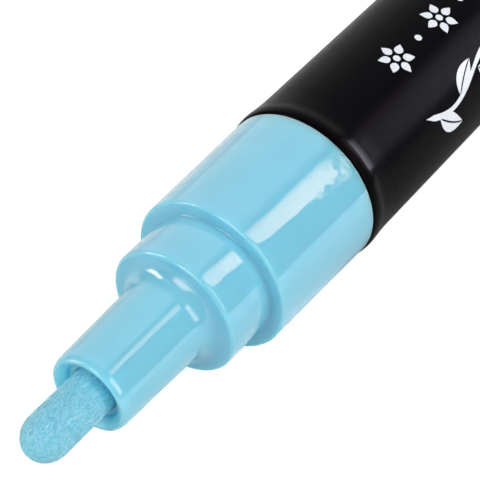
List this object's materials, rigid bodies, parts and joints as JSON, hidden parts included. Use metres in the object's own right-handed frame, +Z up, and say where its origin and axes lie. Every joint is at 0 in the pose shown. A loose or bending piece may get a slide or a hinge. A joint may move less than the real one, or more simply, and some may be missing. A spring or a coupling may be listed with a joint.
{
  "type": "liquid chalk marker",
  "caption": "Pump-action liquid chalk marker with a felt nib, a stepped glossy front section, a spring valve, a matte barrel and a push-on cap posted on its tail.",
  "frame": {"origin": "middle of the marker's length on the surface it lies on, under its axis", "axes": "+X along the marker's axis from nib to cap, +Z up, towards the clip, +Y to the left of +X"},
  "size_m": [0.1596, 0.016, 0.0187],
  "materials": {
    "felt": "soaked felt",
    "coloured_plastic": "glossy",
    "barrel_plastic": "satin",
    "natural_plastic": "natural",
    "seal_rubber": "matte",
    "steel": "bright"
  },
  "bodies": {
    "marker": {"barrel": "barrel_plastic", "front_section": "coloured_plastic", "seal_ring": "seal_rubber", "valve_seat": "natural_plastic", "valve_cage": "natural_plastic", "valve_spring": "steel", "tail_plug": "coloured_plastic"},
    "valve": {"valve_stem": "natural_plastic", "valve_seal": "seal_rubber"},
    "writing_nib": {"nib": "felt"},
    "ball": {"mixing_ball": "steel"},
    "cap_set": {"cap": "coloured_plastic", "cap_liner": "natural_plastic"}
  },
  "joints": [
    {"name": "nib_press", "type": "slide", "parent": "marker", "child": "valve", "axis": [1, 0, 0], "range_m": [0, 0.002], "stiffness_N_per_m": 250, "springref_m": -0.004, "deforming": ["valve_spring"]},
    {"name": "nib_pull", "type": "slide", "parent": "valve", "child": "writing_nib", "axis": [-1, 0, 0], "range_m": [0, 0.02]},
    {"name": "ball_roll", "type": "slide", "parent": "marker", "child": "ball", "axis": [-1, 0, 0], "range_m": [0, 0.059]},
    {"name": "cap_pull", "type": "slide", "parent": "marker", "child": "cap_set", "axis": [1, 0, 0], "range_m": [0, 0.04]}
  ]
}
